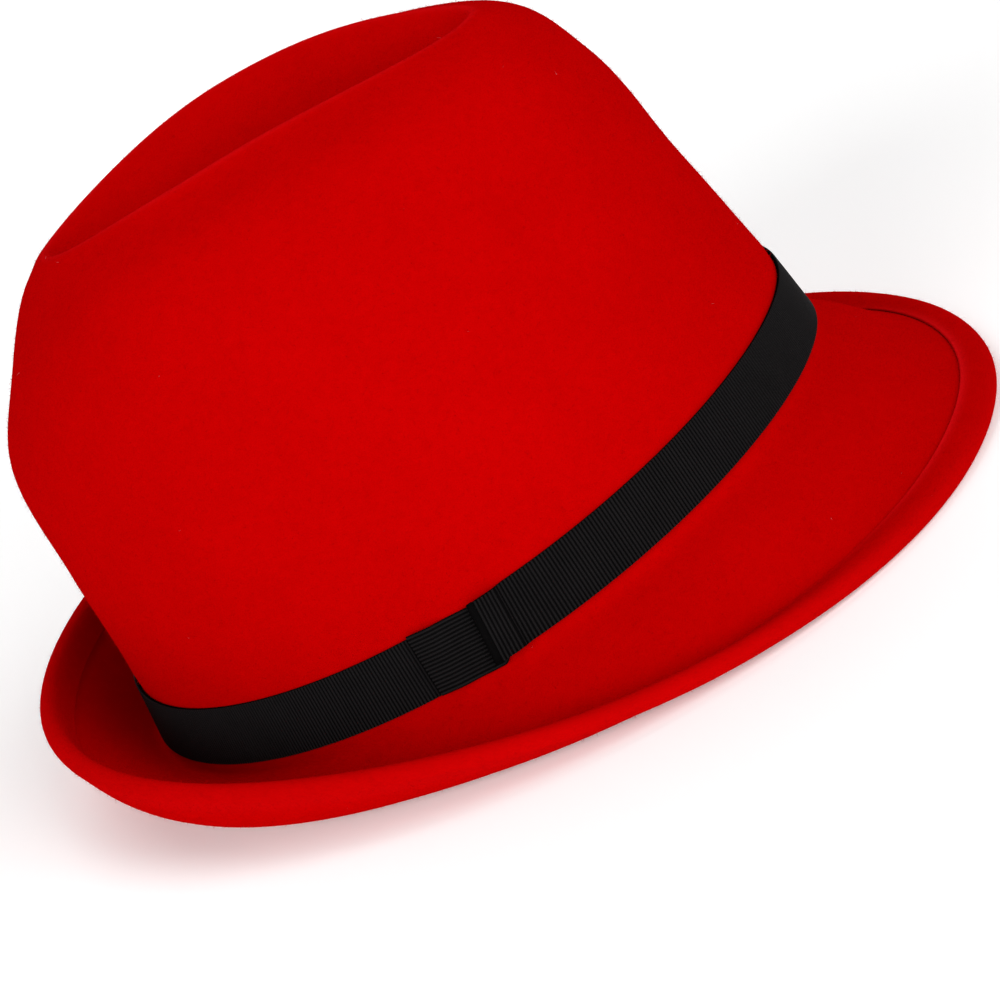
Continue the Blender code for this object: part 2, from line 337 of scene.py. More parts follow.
class Tree:
    """A node tree under construction."""

    def __init__(self, nodes):
        self.nodes = nodes

    def add(self, kind, settings=None, inputs=None):
        """Adds a node with its settings and then its sockets' values or wires.

        Gives the wire of its first output, if it has one.
        """
        node = self.nodes.nodes.new(kind)
        for name, value in (settings or {}).items():
            setattr(node, name, value)
        for name, value in (inputs or {}).items():
            if isinstance(value, Wire):
                self.nodes.links.new(value.socket, node.inputs[name])
            else:
                node.inputs[name].default_value = value
        return Wire(self, node.outputs[0]) if len(node.outputs) else None


def smooth(share):
    """Eases from 0 to 1."""
    share = np.clip(share, 0.0, 1.0)
    return share * share * (3 - 2 * share)


def between(turns, front, side, back):
    """Values at turns, blended from those at the front, the sides and the back."""
    along = np.cos(turns)
    end = np.where(along > 0, front, back)
    return side + (end - side) * along**2


def brim_value(turns, column):
    """A brim column at turns: the cosine series through its five stations."""
    places = np.radians([station.turn for station in BRIM])
    orders = np.arange(len(BRIM))
    values = [getattr(station, column) for station in BRIM]
    terms = np.linalg.solve(np.cos(np.outer(places, orders)), values)
    return np.cos(np.outer(turns, orders)) @ terms


def section_ring(turns, section):
    """Points of one crown section, as an array of turns by 3."""
    c, s = np.cos(turns), np.sin(turns)
    power = section.squareness
    reach = (np.abs(c) ** power + np.abs(s) ** power) ** (-1 / power)
    length = np.where(c > 0, section.front, section.back) * HEAD_LENGTH / 2
    height = between(turns, section.front_height, section.side_height, section.back_height)
    return np.stack(
        [
            length * c * reach,
            section.side * HEAD_WIDTH / 2 * s * reach,
            height * CROWN_HEIGHT - section.drop * DENT_DEPTH * between(turns, DENT_FRONT, 1, 1),
        ],
        axis=-1,
    )


def crown_rows(turns, fine):
    """Rings of the crown's outside from its foot to the middle of the dent."""
    rings = np.array([section_ring(turns, section) for section in CROWN])
    steps = np.diff(rings, axis=0)
    size = np.linalg.norm(steps, axis=-1, keepdims=True) + SMALL_LENGTH
    unit = steps / size
    inner = (unit[:-1] * size[1:] + unit[1:] * size[:-1]) / (size[:-1] + size[1:])
    slope = np.concatenate([unit[:1], inner, unit[-1:]])
    rows = []
    for i, section in enumerate(CROWN[:-1]):
        for step in range(section.steps * fine):
            t = step / (section.steps * fine)
            rows.append(
                (2 * t**3 - 3 * t**2 + 1) * rings[i]
                + (t**3 - 2 * t**2 + t) * slope[i] * size[i]
                + (3 * t**2 - 2 * t**3) * rings[i + 1]
                + (t**3 - t**2) * slope[i + 1] * size[i]
            )
    rows.append(rings[-1])
    return pinched(np.array(rows), turns)


def pinched(rows, turns):
    """The rows with a shallow hollow pressed into each side of the crown's front."""
    away = np.degrees(np.abs((turns + math.pi) % (2 * math.pi) - math.pi))
    round_hat = np.exp(-(((away - PINCH_TURN) / PINCH_SPREAD) ** 2))
    up_hat = np.exp(-(((rows[..., 2] / CROWN_HEIGHT - PINCH_MIDDLE) / PINCH_RISE) ** 2))
    inward = -rows * [1, 1, 0]
    inward /= np.linalg.norm(inward, axis=-1, keepdims=True) + SMALL_LENGTH
    return rows + inward * (PINCH_DEPTH * round_hat * up_hat)[..., None]


def brim_rows(turns, fine):
    """Rings of the brim's top from the row after the crown's foot to its edge and on in the fold.

    In the hem the rise is that of the brim that it lies on, turned round.
    """
    foot = section_ring(turns, CROWN[0])
    ahead = section_ring(turns + RING_PROBE, CROWN[0]) - section_ring(turns - RING_PROBE, CROWN[0])
    outward = np.stack([ahead[:, 1], -ahead[:, 0], 0 * turns], axis=-1)
    outward /= np.linalg.norm(outward, axis=-1, keepdims=True)
    width = brim_value(turns, "width") * BRIM_WIDTH
    curl = brim_value(turns, "curl") * CURL_WIDTH
    flat = width - curl - STRAIGHT_WIDTH
    slope, bend, edge = (brim_value(turns, name) for name in ("slope", "bend", "edge"))
    stops = [flat * share for share in BREAK_ROWS]
    near = BREAK_ROWS[-1]
    stops += [flat * (near + (1 - near) * step / BRIM_STEPS) for step in range(1, BRIM_STEPS + 1)]
    stops += [flat + curl * step / CURL_STEPS for step in range(1, CURL_STEPS + 1)]
    stops.append(width)
    stops += [width + FOLD_ARC * step / FOLD_STEPS for step in range(1, FOLD_STEPS + 1)]
    stops += [width + FOLD_ARC + HEM_LAP * step / HEM_STEPS for step in range(1, HEM_STEPS + 1)]
    rows, place, before = [], foot, 0 * turns
    for stop in stops:
        stretch = (stop - before) / PARTS
        for part in range(PARTS):
            middle = before + (part + 0.5) * stretch
            below = np.minimum(middle, width) - np.maximum(middle - width - FOLD_ARC, 0)
            here = slope + bend * (np.minimum(below / flat, 1) - 0.5)
            rise = -WALL_SLOPE + (here + WALL_SLOPE) * smooth(below / BREAK_ARC)
            rise += (edge - here) * smooth((below - flat) / curl)
            rise = np.radians(rise + 180 * np.clip((middle - width) / FOLD_ARC, 0, 1))
            place = place + outward * (np.cos(rise) * stretch)[:, None]
            place = place + np.outer(np.sin(rise) * stretch, [0, 0, 1])
            if (part + 1) % (PARTS // fine) == 0:
                rows.append(place)
        before = stop
    return np.array(rows)


def grid_normals(rows):
    """The outward normal at each point of closed rings, evened out round them."""
    along = np.roll(rows, -1, axis=1) - np.roll(rows, 1, axis=1)
    normals = np.cross(np.gradient(rows, axis=0), along)
    for _ in range(NORMAL_PASSES):
        normals /= np.linalg.norm(normals, axis=-1, keepdims=True) + SMALL_AREA
        normals = normals + (np.roll(normals, 1, axis=1) + np.roll(normals, -1, axis=1)) / 2
    return normals / np.linalg.norm(normals, axis=-1, keepdims=True)


def unevenness(points):
    """A slow wander of the felt's surface, from about -1 to 1."""
    wander = 0
    for stretch, way, phase in WAVES:
        wander = wander + np.sin(points @ np.array(way) * 2 * math.pi / stretch + phase)
    return wander / len(WAVES)


def lengths_from(start, rows):
    """How much felt lies between a first ring and each of the rings that follow from there."""
    return np.linalg.norm(np.diff(rows, axis=0, prepend=start), axis=-1).cumsum(axis=0)


def closed_felt():
    """The felt as closed rings, from the middle of the dent over the outside, into the hem's fold,
    round the raw edge and back along the other side, with how much painted highlight and how much
    hair it has at each point."""
    turns = np.arange(AROUND) * 2 * math.pi / AROUND
    crown = crown_rows(turns, FINE)
    brim = brim_rows(turns, FINE)
    up = lengths_from(crown[:1], crown)
    down = lengths_from(crown[:1], brim)
    height = np.concatenate([up[::-1], -down])
    past_ribbon = height - RIBBON_SEAT - RIBBON_WIDTH
    brim_to_cut = down[-1] - down
    to_cut = np.concatenate([0 * up[::-1] + down[-1], brim_to_cut])

    rows = np.concatenate([crown[::-1], brim])
    normals = grid_normals(rows)
    swell = SWELL * smooth(past_ribbon / SWELL_RISE)
    swell *= np.exp(-np.maximum(past_ribbon, 0) / SWELL_SINK)
    free = smooth(past_ribbon / UNEVEN_UP) + smooth((-height - EVEN_BRIM) / UNEVEN_OUT)
    turned = np.clip((HEM_LAP + FOLD_ARC - to_cut) / FOLD_ARC, 0, 1)
    rows = rows + normals * (swell + UNEVEN * free * (1 - 2 * turned) * unevenness(rows))[..., None]

    normals = grid_normals(rows)
    aside = np.degrees(np.arccos(np.abs(np.cos(turns))))
    side = smooth((aside - SIDE_START) / SIDE_CHANGE)
    lap = 1 - np.clip(to_cut / HEM_LAP, 0, 1)
    thin = 1 - EDGE_SHARE + (EDGE_SHARE - SIDE_EDGE_SHARE) * side
    thinning = THINNING + FRONT_THINNING * np.clip(np.cos(turns), 0, 1) ** 2
    thick = FELT * (1 - thin * lap**thinning)[..., None]
    rows = rows + normals * ((HEM_GAP - EDGE_GAP) * smooth(lap))[..., None]

    away = rows[-1] - rows[-2]
    away /= np.linalg.norm(away, axis=-1, keepdims=True)
    middle = rows[-1] - normals[-1] * thick[-1] / 2
    edge = []
    for swing in np.linspace(0, math.pi, EDGE_ROWS + 2)[1:-1]:
        c, s = math.cos(swing), math.sin(swing)
        across = math.copysign(abs(c) ** SQUARE, c) * normals[-1]
        edge.append(middle + (across + s**SQUARE * away) * thick[-1] / 2)
    rings = np.concatenate([rows, edge, (rows - normals * thick)[::-1]])

    # The painted highlight is full at the front and faint at the sides and the back; the same
    # weight thickens the nap at the raw edge
    highlight_weight = SIDE_HIGHLIGHT + (1 - SIDE_HIGHLIGHT) * (1 - side) * (np.cos(turns) > 0)
    ridge_row = FINE * sum(section.steps for section in CROWN[:RIDGE])
    ridge = np.exp(-(((up - up[ridge_row]) / RIDGE_REACH) ** 2))[::-1]
    cut = np.exp(-((brim_to_cut / EDGE_REACH) ** 2)) * highlight_weight
    rim = np.exp(-(((brim_to_cut - HEM_WIDTH) / RIM_REACH) ** 2))
    ends = np.ones((EDGE_ROWS, AROUND)) * highlight_weight
    inside, brim_top = 0 * ridge, 0 * cut
    other_side = (EDGE_HIGHLIGHT * cut + RIM_HIGHLIGHT * rim)[::-1]
    painted_highlight = np.concatenate([RIDGE_HIGHLIGHT * ridge, brim_top, EDGE_HIGHLIGHT * ends, other_side, inside])
    bare = smooth(1 + height / HAIR_END) * (1 - smooth(past_ribbon / HAIR_END))
    outside = (TOP_HAIR + np.concatenate([ridge, brim_top])) * (1 - bare)
    hair = np.concatenate([outside, EDGE_HAIR * ends, (UNDER_HAIR + cut + rim)[::-1], inside])
    return rings, painted_highlight, hair


def resting(points):
    """The matrix that tips and lifts the level hat to rest on the front and back of its brim."""
    tilt = 0.0
    for _ in range(TILT_PASSES):
        x = points[:, 0] * math.cos(tilt) + points[:, 2] * math.sin(tilt)
        z = points[:, 2] * math.cos(tilt) - points[:, 0] * math.sin(tilt)
        front, back = (np.where(side, z, np.inf).argmin() for side in (x > 0, x < 0))
        tilt -= math.atan2(z[back] - z[front], x[front] - x[back])
    move = Matrix.Translation((-(x.min() + x.max()) / 2, 0, -z.min() - SETTLE))
    return move @ Matrix.Rotation(tilt, 4, "Y")


def placed(points, rest):
    """Points of the level hat where it rests."""
    turned = np.array(rest)
    return points @ turned[:3, :3].T + turned[:3, 3]


def new_object(name, data):
    """A new object in the scene."""
    made = bpy.data.objects.new(name, data)
    bpy.context.scene.collection.objects.link(made)
    return made


def new_piece(name, mesh, finish):
    """A new object that rides with the hat, with one finish."""
    made = new_object(name, mesh)
    mesh.materials.clear()
    mesh.materials.append(finish)
    mesh.shade_smooth()
    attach(made, "root")
    return made


def felt_mesh(rings, painted_highlight, hair):
    """The closed felt as a mesh, with its painted highlight and hair as attributes."""
    solid = bmesh.new()
    highlight_layer = solid.verts.layers.float.new("painted_highlight")
    hair_layer = solid.verts.layers.float.new("hair")
    lines = []
    for ring, ring_highlight, ring_hair in zip(rings, painted_highlight, hair):
        lines.append([solid.verts.new(point) for point in ring])
        for vert, highlighted, hairy in zip(lines[-1], ring_highlight, ring_hair):
            vert[highlight_layer] = highlighted
            vert[hair_layer] = hairy
    for first, second in zip(lines, lines[1:]):
        for i in range(AROUND):
            j = (i + 1) % AROUND
            solid.faces.new((first[i], second[i], second[j], first[j]))
    for line in (lines[0], lines[-1]):
        for i in range(AROUND // 2):
            corners = [line[i], line[i + 1], line[-i - 1], line[-i]]
            solid.faces.new(list(dict.fromkeys(corners)))
    bmesh.ops.recalc_face_normals(solid, faces=solid.faces)
    mesh = bpy.data.meshes.new("felt")
    solid.to_mesh(mesh)
    solid.free()
    return mesh


def on_felt(turns, heights):
    """Points of the felt's outside at turns and at heights up the felt from the crown's foot."""
    crown = crown_rows(turns, 1)
    below = brim_rows(turns, 1)[1::-1]
    rows = np.concatenate([below, crown])
    steps = np.linalg.norm(np.diff(rows, axis=0), axis=-1)
    lengths = np.concatenate([0 * steps[:1], np.cumsum(steps, axis=0)])
    lengths = (lengths - lengths[len(below)]).T
    lines = np.swapaxes(rows, 0, 1)
    return np.array(
        [
            [np.interp(height, length, line[:, axis]) for axis in range(3)]
            for line, length, height in zip(lines, lengths, heights)
        ]
    )


def ribbon_sheet(name, round_hat, lift, foot, top, slant, lengthwise):
    """A ribbon's outer face as a sheet over the felt, by lengths round the hat and lifts off it,
    and how long it is.

    Its UV map holds the place along the ribbon and across it, swapped if its ribs run lengthwise.
    """
    sheet = bmesh.new()
    uv = sheet.loops.layers.uv.new("ribbon")
    along = np.concatenate([[0], np.hypot(np.diff(round_hat), np.diff(lift)).cumsum()])
    lines = []
    for step in range(RIBBON_ROWS + 1):
        share = step / RIBBON_ROWS
        turns = (round_hat - slant * (1 - share)) / (HEAD_LENGTH / 2)
        heights = foot + (top - foot) * share
        here = on_felt(turns, heights)
        ahead = on_felt(turns + TURN_PROBE, heights) - on_felt(turns - TURN_PROBE, heights)
        above = on_felt(turns, heights + HEIGHT_PROBE) - on_felt(turns, heights - HEIGHT_PROBE)
        out = np.cross(ahead, above)
        out /= np.linalg.norm(out, axis=1, keepdims=True)
        lines.append([sheet.verts.new(point) for point in here + out * lift[:, None]])
    for row, (low, high) in enumerate(zip(lines, lines[1:])):
        for i in range(len(along) - 1):
            face = sheet.faces.new((low[i], low[i + 1], high[i + 1], high[i]))
            for loop, (a, b) in zip(face.loops, ((0, 0), (1, 0), (1, 1), (0, 1))):
                place = (along[i + a] / along[-1], (row + b) / RIBBON_ROWS)
                loop[uv].uv = place[::-1] if lengthwise else place
    mesh = bpy.data.meshes.new(name)
    sheet.to_mesh(mesh)
    sheet.free()
    return mesh, along[-1]


def band_sheet():
    """The ribbon's outer face, from the end folded under at the keeper's front, forward round the
    hat, to the end under the keeper's back."""
    over = CLEARANCE + RIBBON + CLEARANCE
    start = math.radians(KEEPER_START) * HEAD_LENGTH / 2
    fold = start + KEEPER_LENGTH - MARGIN
    last = start + MARGIN + math.pi * HEAD_LENGTH
    swing = np.radians(np.linspace(-90, -270, TURN_POINTS))
    turned = RIBBON - RIB_RISE
    round_hat = [
        fold + np.linspace(FOLD_LENGTH, 2 * RIBBON, UNDER_POINTS),
        fold + RIBBON + turned * np.cos(swing),
        fold + np.arange(RIBBON + DESCENT_STEP, DESCENT_END, DESCENT_STEP),
        np.arange(fold + DESCENT_END, last, RIBBON_STEP),
        [last],
    ]
    lift = [np.full(UNDER_POINTS, over + RIB_RISE), over + RIBBON + turned * np.sin(-swing)]
    onward = np.concatenate(round_hat[2:])
    lowered = smooth((onward - fold - MARGIN) / DESCENT)
    lift.append(over + 2 * RIBBON - RIB_RISE - lowered * (over + RIBBON - CLEARANCE))
    round_hat = np.concatenate(round_hat)
    lift = np.concatenate(lift)
    foot = np.full(len(lift), RIBBON_SEAT)
    slant = FOLD_SLANT * np.exp(-(((round_hat - fold) / SLANT_REACH) ** 2))
    return ribbon_sheet("band", round_hat, lift, foot, foot + RIBBON_WIDTH, slant, False)


def keeper_sheet():
    """The keeper's outer face, over the ribbon's back end, down to the felt and under the folded
    end."""
    over = CLEARANCE + RIBBON + CLEARANCE
    start = math.radians(KEEPER_START) * HEAD_LENGTH / 2
    length = np.linspace(0, KEEPER_LENGTH, KEEPER_STEPS + 1)
    visible = KEEPER_LENGTH - MARGIN
    down = smooth((length - MARGIN) / MARGIN)
    lift = over + (CLEARANCE - over) * down + RIBBON - RIB_RISE
    drop = KEEPER_DROP * np.clip(length / visible, 0, 1)
    tucked = smooth((length - visible) / TUCK_LENGTH)
    foot = RIBBON_SEAT - drop * (1 - tucked)
    top = RIBBON_SEAT + KEEPER_WIDTH - drop
    return ribbon_sheet("keeper", start + length, lift, foot, top, 0, True)


def geometry_tree(name, sockets):
    """A geometry node tree with named inputs, and its input wires by name."""
    nodes = bpy.data.node_groups.new(name, "GeometryNodeTree")
    nodes.interface.new_socket(name="Geometry", in_out="OUTPUT", socket_type="NodeSocketGeometry")
    inputs = (("Geometry", "NodeSocketGeometry"), *sockets)
    for label, kind in inputs:
        nodes.interface.new_socket(name=label, in_out="INPUT", socket_type=kind)
    tree = Tree(nodes)
    start = tree.add("NodeGroupInput")
    return tree, {label: start.other(label) for label, _ in inputs}


def end_tree(tree, geometry, finish):
    """Ends a geometry node tree in this geometry with this finish."""
    done = tree.add("GeometryNodeSetMaterial", None, {"Geometry": geometry, "Material": finish})
    tree.add("NodeGroupOutput", None, {"Geometry": done})
    return tree


def plain_mesh(carrier):
    """The mesh that an object's modifiers make. The object itself goes."""
    graph = bpy.context.evaluated_depsgraph_get()
    mesh = bpy.data.meshes.new_from_object(carrier.evaluated_get(graph), depsgraph=graph)
    bpy.data.objects.remove(carrier, do_unlink=True)
    return mesh


def made_by(tree, source, values):
    """The plain mesh that a geometry node tree makes from a mesh, with its inputs set by name."""
    carrier = new_object("carrier", source)
    modifier = carrier.modifiers.new("made", "NODES")
    modifier.node_group = tree.nodes
    for item in tree.nodes.interface.items_tree:
        if item.item_type == "SOCKET" and item.in_out == "INPUT" and item.name in values:
            modifier[item.identifier] = values[item.name]
    return plain_mesh(carrier)


def rib_tree():
    """Round ribs side by side over a sheet by its UV map, each along the map's second direction."""
    tree, given = geometry_tree(
        "woven ribs",
        (
            ("Ribs", "NodeSocketInt"),
            ("Radius", "NodeSocketFloat"),
            ("Rise", "NodeSocketFloat"),
            ("Finish", "NodeSocketMaterial"),
        ),
    )
    pitch = tree.add("ShaderNodeMath", {"operation": "DIVIDE"}, {0: 1.0, 1: given["Ribs"]})
    first = tree.add("ShaderNodeCombineXYZ", None, {"X": pitch * 0.5})
    spacing = tree.add("ShaderNodeCombineXYZ", None, {"X": pitch})
    row = tree.add(
        "GeometryNodeMeshLine",
        {"mode": "OFFSET"},
        {"Count": given["Ribs"], "Start Location": first, "Offset": spacing},
    )
    rib = tree.add(
        "GeometryNodeCurvePrimitiveLine",
        None,
        {"Start": (0, RIB_INSET, 0), "End": (0, 1 - RIB_INSET, 0)},
    )
    rib = tree.add("GeometryNodeResampleCurve", None, {"Curve": rib, "Count": RIBBON_ROWS + 1})
    ribs = tree.add("GeometryNodeInstanceOnPoints", None, {"Points": row, "Instance": rib})
    ribs = tree.add("GeometryNodeRealizeInstances", None, {"Geometry": ribs})
    place = tree.add("GeometryNodeInputPosition")
    ribs = tree.add(
        "GeometryNodeStoreNamedAttribute",
        {"data_type": "FLOAT_VECTOR", "domain": "POINT"},
        {"Geometry": ribs, "Name": "ribbon", "Value": place},
    )
    on_ribbon = tree.add(
        "GeometryNodeInputNamedAttribute", {"data_type": "FLOAT_VECTOR"}, {"Name": "ribbon"}
    )
    on_sheet = [
        tree.add(
            "GeometryNodeSampleUVSurface",
            {"data_type": "FLOAT_VECTOR"},
            {
                "Mesh": given["Geometry"],
                "Value": field,
                "Source UV Map": on_ribbon,
                "Sample UV": place,
            },
        )
        for field in (place, tree.add("GeometryNodeInputNormal"))
    ]
    sink = tree.add(
        "ShaderNodeVectorMath",
        {"operation": "SCALE"},
        {0: on_sheet[1], "Scale": given["Rise"] - given["Radius"]},
    )
    centre = tree.add("ShaderNodeVectorMath", {"operation": "ADD"}, {0: on_sheet[0], 1: sink})
    ribs = tree.add("GeometryNodeSetPosition", None, {"Geometry": ribs, "Position": centre})
    circle = tree.add(
        "GeometryNodeCurvePrimitiveCircle",
        None,
        {"Resolution": RIB_SIDES, "Radius": given["Radius"]},
    )
    ribs = tree.add(
        "GeometryNodeCurveToMesh", None, {"Curve": ribs, "Profile Curve": circle, "Fill Caps": True}
    )
    return end_tree(tree, ribs, given["Finish"])


def fibre_tree():
    """Short pointed fibres scattered over a surface by its hair attribute, each with its own lean
    and size. Numbers pass a Random Value node at its inputs 2 and 3 and its output 1."""
    tree, given = geometry_tree(
        "loose fibres",
        (
            ("Density", "NodeSocketFloat"),
            ("Length", "NodeSocketFloat"),
            ("Radius", "NodeSocketFloat"),
            ("Lean", "NodeSocketFloat"),
            ("Seed", "NodeSocketInt"),
            ("Finish", "NodeSocketMaterial"),
        ),
    )
    hair = tree.add("GeometryNodeInputNamedAttribute", {"data_type": "FLOAT"}, {"Name": "hair"})
    points = tree.add(
        "GeometryNodeDistributePointsOnFaces",
        None,
        {"Mesh": given["Geometry"], "Density": hair * given["Density"], "Seed": given["Seed"]},
    )
    fibre = tree.add(
        "GeometryNodeMeshCone",
        {"fill_type": "NONE"},
        {
            "Vertices": 3,
            "Radius Top": 0.0,
            "Radius Bottom": given["Radius"],
            "Depth": given["Length"],
        },
    )
    least = tree.add("ShaderNodeCombineXYZ", None, {"X": 0 - given["Lean"], "Y": 0 - given["Lean"]})
    most = tree.add(
        "ShaderNodeCombineXYZ", None, {"X": given["Lean"], "Y": given["Lean"], "Z": 2 * math.pi}
    )
    way = tree.add(
        "FunctionNodeRandomValue",
        {"data_type": "FLOAT_VECTOR"},
        {"Min": least, "Max": most, "Seed": given["Seed"]},
    )
    turned = tree.add(
        "FunctionNodeRotateRotation",
        {"rotation_space": "LOCAL"},
        {"Rotation": points.other("Rotation"), "Rotate By": way},
    )
    size = tree.add(
        "FunctionNodeRandomValue",
        {"data_type": "FLOAT"},
        {2: LEAST_FIBRE, 3: MOST_FIBRE, "Seed": given["Seed"]},
    )
    fibres = tree.add(
        "GeometryNodeInstanceOnPoints",
        None,
        {"Points": points, "Instance": fibre, "Rotation": turned, "Scale": size.other(1)},
    )
    fibres = tree.add("GeometryNodeRealizeInstances", None, {"Geometry": fibres})
    return end_tree(tree, fibres, given["Finish"])


def new_finish(name):
    """An empty material's tree and the material."""
    made = bpy.data.materials.new(name)
    made.use_nodes = True
    made.node_tree.nodes.clear()
    return Tree(made.node_tree), made


def finished(tree, made, settings):
    """Ends a material's tree in a Principled shader with these sockets."""
    shader = tree.add("ShaderNodeBsdfPrincipled", None, settings)
    tree.add("ShaderNodeOutputMaterial", None, {"Surface": shader})
    return made


def colour_mix(tree, share, first, second):
    """A mix of two colours, which a Mix node takes at its inputs 6 and 7 and gives at output 2."""
    mixed = tree.add("ShaderNodeMix", {"data_type": "RGBA"}, {"Factor": share, 6: first, 7: second})
    return mixed.other(2)


def noise(tree, place, grain):
    """A noise from 0 to 1 with a texture's grain."""
    return tree.add(
        "ShaderNodeTexNoise",
        None,
        {
            "Vector": place,
            "Scale": grain.scale,
            "Detail": grain.detail,
            "Roughness": grain.roughness,
            "Distortion": grain.distortion,
        },
    )


def stretched(tree, place, scale, turn):
    """Coordinates squeezed along and turned, which draws a noise out into strands."""
    return tree.add(
        "ShaderNodeMapping",
        {"vector_type": "TEXTURE"},
        {"Vector": place, "Scale": scale, "Rotation": turn},
    )


def felt_finish():
    """Matted red wool: strands crossing at all angles, small pits, slow changes of shade and a pale
    highlight painted along the ridge, the raw edge and the brim's outer edge."""
    tree, made = new_finish("red_wool_felt_matted")
    place = tree.add("ShaderNodeTexCoord").other("Object")
    strands = [noise(tree, stretched(tree, place, *way), STRANDS) for way in STRAND_WAYS]
    matted = (strands[0] + strands[1] + strands[2]) * (1 / 3)
    pits, patches, clouds = (noise(tree, place, grain) for grain in (PITS, PATCHES, CLOUDS))
    shade = (matted - 0.5) * STRANDS.shade + (pits - 0.5) * PITS.shade
    shade = shade + (patches - 0.5) * PATCHES.shade + (clouds - 0.5) * CLOUDS.shade
    shade = tree.add("ShaderNodeClamp", None, {"Value": shade + 0.5})
    colour = colour_mix(tree, shade, *FELT_COLOURS)
    # A pale highlight painted into the colour along the ridge, the raw edge and the brim's outer
    # edge, broken up by the strands
    painted_highlight = tree.add("ShaderNodeAttribute", {"attribute_name": "painted_highlight"}).other("Fac")
    highlight_weight = painted_highlight * matted
    colour = colour_mix(tree, highlight_weight * HIGHLIGHT_STRENGTH, colour, HIGHLIGHT_COLOUR)
    height = matted * STRANDS.height + pits * PITS.height + patches * PATCHES.height
    bump = tree.add("ShaderNodeBump", None, {"Strength": 1.0, "Distance": 1.0, "Height": height})
    return finished(
        tree,
        made,
        {
            "Base Color": colour,
            "Roughness": 0.9 + (matted - 0.5) * 0.15,
            "Normal": bump,
            "Specular IOR Level": 0.0,
            "Diffuse Roughness": 0.2,
            "Sheen Weight": 0.03,
            "Sheen Roughness": 0.4,
            "Sheen Tint": (1, 0.02, 0.03, 1),
        },
    )


def fibre_finish(name, dark, pale):
    """Single wool fibres, some paler than others."""
    tree, made = new_finish(name)
    place = tree.add("ShaderNodeTexCoord").other("Object")
    colour = colour_mix(tree, noise(tree, place, FIBRE_TINT), dark, pale)
    return finished(
        tree,
        made,
        {"Base Color": colour, "Roughness": 0.8, "Specular IOR Level": 0.0},
    )


def grosgrain_finish(name, dark, pale, gloss):
    """Black ribbed ribbon: fine threads over the ribs, and a soft sheen that differs a little from
    place to place."""
    tree, made = new_finish(name)
    place = tree.add("ShaderNodeTexCoord").other("Object")
    ribbon = tree.add("ShaderNodeAttribute", {"attribute_name": "ribbon"}).other("Vector")
    parts = tree.add("ShaderNodeSeparateXYZ", None, {"Vector": ribbon})
    across = parts.other("Y")
    waves = across * (2 * math.pi * THREADS)
    threads = tree.add("ShaderNodeMath", {"operation": "SINE"}, {0: waves})
    fuzz = noise(tree, place, FUZZ)
    dull = noise(tree, place, DULL_PLACES)
    shade = fuzz * FUZZ.shade + dull * DULL_PLACES.shade + threads * THREAD_SHADE
    shade = tree.add("ShaderNodeClamp", None, {"Value": shade - RIBBON_DARKER})
    colour = colour_mix(tree, shade, dark, pale)
    height = threads * THREAD_HEIGHT + fuzz * FUZZ.height
    bump = tree.add("ShaderNodeBump", None, {"Strength": 1.0, "Distance": 1.0, "Height": height})
    return finished(
        tree,
        made,
        {
            "Base Color": colour,
            "Roughness": 0.42 + dull * 0.2,
            "Normal": bump,
            "Specular IOR Level": gloss,
        },
    )


def floor_finish():
    """A plain pale floor, with a faint glow that keeps it near white."""
    tree, made = new_finish("pale_floor")
    return finished(
        tree,
        made,
        {
            "Base Color": (0.97, 0.97, 0.97, 1),
            "Roughness": 1.0,
            "Specular IOR Level": 0.0,
            "Emission Color": (1, 1, 1, 1),
            "Emission Strength": FLOOR_GLOW,
        },
    )


def make_felt(points, painted_highlight, hair):
    """The felt body, flat where it rests, its nap and the few loose fibres that lie on it."""
    points[..., 2] = np.maximum(points[..., 2], 0)
    mesh = felt_mesh(points, painted_highlight, hair * smooth((points[..., 2] - FLOOR_CLEAR) / FLOOR_CLEAR))
    body = new_piece("felt_hat_body", mesh, felt_finish())
    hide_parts("felt_body")

    tree = fibre_tree()
    nap = fibre_finish("red_wool_fibre", *NAP_COLOURS)
    lint = fibre_finish("pale_lint_fibre", *LINT_COLOURS)
    for name, finish, fibres in (("felt_nap_fibres", nap, NAP), ("felt_lint_fibres", lint, LINT)):
        values = {
            "Density": fibres.density,
            "Length": fibres.length,
            "Radius": fibres.radius,
            "Lean": fibres.lean,
            "Seed": fibres.seed,
            "Finish": finish,
        }
        new_piece(name, made_by(tree, mesh.copy(), values), finish)
    return body


def make_ribbon(rest):
    """The ribbon and its keeper, each a cloth with round ribs on it."""
    finish = grosgrain_finish("black_grosgrain_rib", *RIB_COLOURS, RIB_GLOSS)
    # The cloth under the ribs takes darker colours and no gloss: painted shade in the gaps between
    # the ribs
    shaded_ground = grosgrain_finish("black_grosgrain_shaded_ground", *SHADED_GROUND_COLOURS, 0.0)
    tree = rib_tree()
    for node, (sheet, length), width, crosswise in (
        ("ribbon_band", band_sheet(), RIBBON_WIDTH, True),
        ("ribbon_keeper", keeper_sheet(), KEEPER_WIDTH, False),
    ):
        sheet.transform(rest)
        count = round((length if crosswise else width) / RIB_PITCH)
        values = {"Ribs": count, "Radius": RIB_RADIUS, "Rise": RIB_RISE, "Finish": finish}
        ribs = new_piece(node + "_ribs", made_by(tree, sheet, values), finish)
        carrier = new_object("carrier", sheet)
        wall = carrier.modifiers.new("cloth", "SOLIDIFY")
        wall.thickness = CLOTH
        wall.offset = -1
        cloth = new_piece(node + "_cloth", plain_mesh(carrier), shaded_ground)
        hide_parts(node)


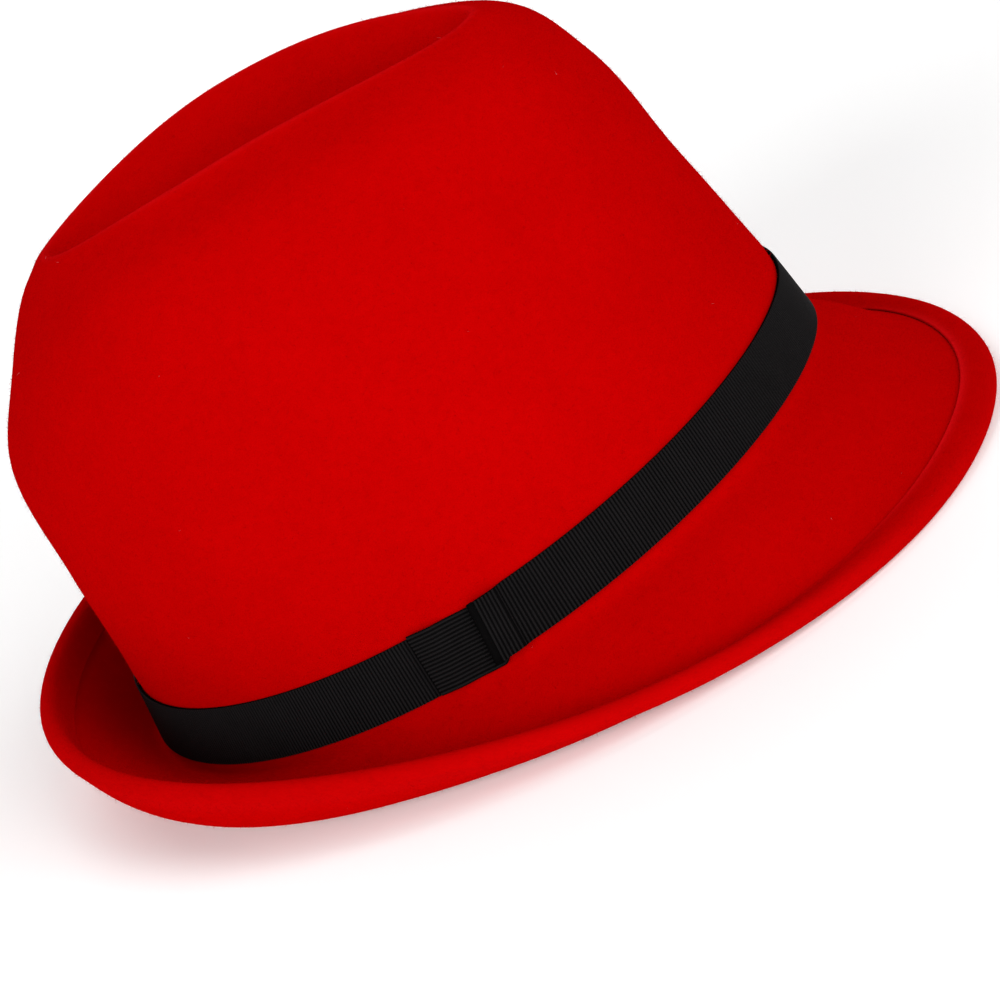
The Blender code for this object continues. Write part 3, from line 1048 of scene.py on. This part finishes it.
def camera_axes():
    """The camera's right, up and back in the level hat's frame."""
    turn, height, roll = (math.radians(a) for a in (CAMERA_TURN, CAMERA_HEIGHT, CAMERA_ROLL))
    flat = math.cos(height)
    back = Vector((math.sin(turn) * flat, -math.cos(turn) * flat, math.sin(height)))
    level = Vector((math.cos(turn), math.sin(turn), 0))
    upright = back.cross(level)
    right = level * math.cos(roll) + upright * math.sin(roll)
    return right, back.cross(right), back


def make_camera(rest):
    """The camera, and its axes as a matrix where the hat rests."""
    right, up, back = camera_axes()
    axes = Matrix((right, up, back)).transposed().to_4x4()
    view = bpy.data.cameras.new("camera")
    view.sensor_width = SENSOR
    view.lens = VIEW_LENS * SENSOR
    view.shift_x = 0.5 - VIEW_MIDDLE[0]
    view.shift_y = VIEW_MIDDLE[1] - 0.5
    camera = new_object("camera", view)
    camera.matrix_world = rest @ Matrix.Translation(back * CAMERA_DISTANCE) @ axes
    bpy.context.scene.camera = camera
    return rest @ axes


def make_lights(axes):
    """Broad soft lights round the camera and behind the hat, and a faint even surround."""
    for i, ray in enumerate(SOFT_LIGHTS):
        light = bpy.data.lights.new(f"soft_light_{i}", "SUN")
        light.angle = math.radians(SPREAD)
        light.energy = math.pi * ray.strength
        lamp = new_object(f"soft_light_{i}", light)
        towards = (axes @ Vector((ray.right, ray.up, ray.back))).normalized()
        lamp.matrix_world = towards.to_track_quat("Z", "Y").to_matrix().to_4x4()
    world = bpy.data.worlds.new("surround")
    world.use_nodes = True
    world.node_tree.nodes["Background"].inputs["Color"].default_value = (1, 1, 1, 1)
    world.node_tree.nodes["Background"].inputs["Strength"].default_value = SURROUND
    bpy.context.scene.world = world
    bpy.context.scene.view_settings.view_transform = "Standard"


def make_floor():
    """The floor, a hair's breadth under the hat."""
    floor = bpy.data.meshes.new("floor")
    sides = ((-1, -1), (1, -1), (1, 1), (-1, 1))
    corners = [(x * FLOOR_REACH, y * FLOOR_REACH, -FLOOR_DEPTH) for x, y in sides]
    floor.from_pydata(corners, [], [(0, 1, 2, 3)])
    floor.materials.append(floor_finish())
    new_object("floor", floor)


rings, painted_highlight, hair = closed_felt()
rest = resting(rings.reshape(-1, 3))
make_lights(make_camera(rest))
make_floor()
felt = make_felt(placed(rings, rest), painted_highlight, hair)
make_ribbon(rest)
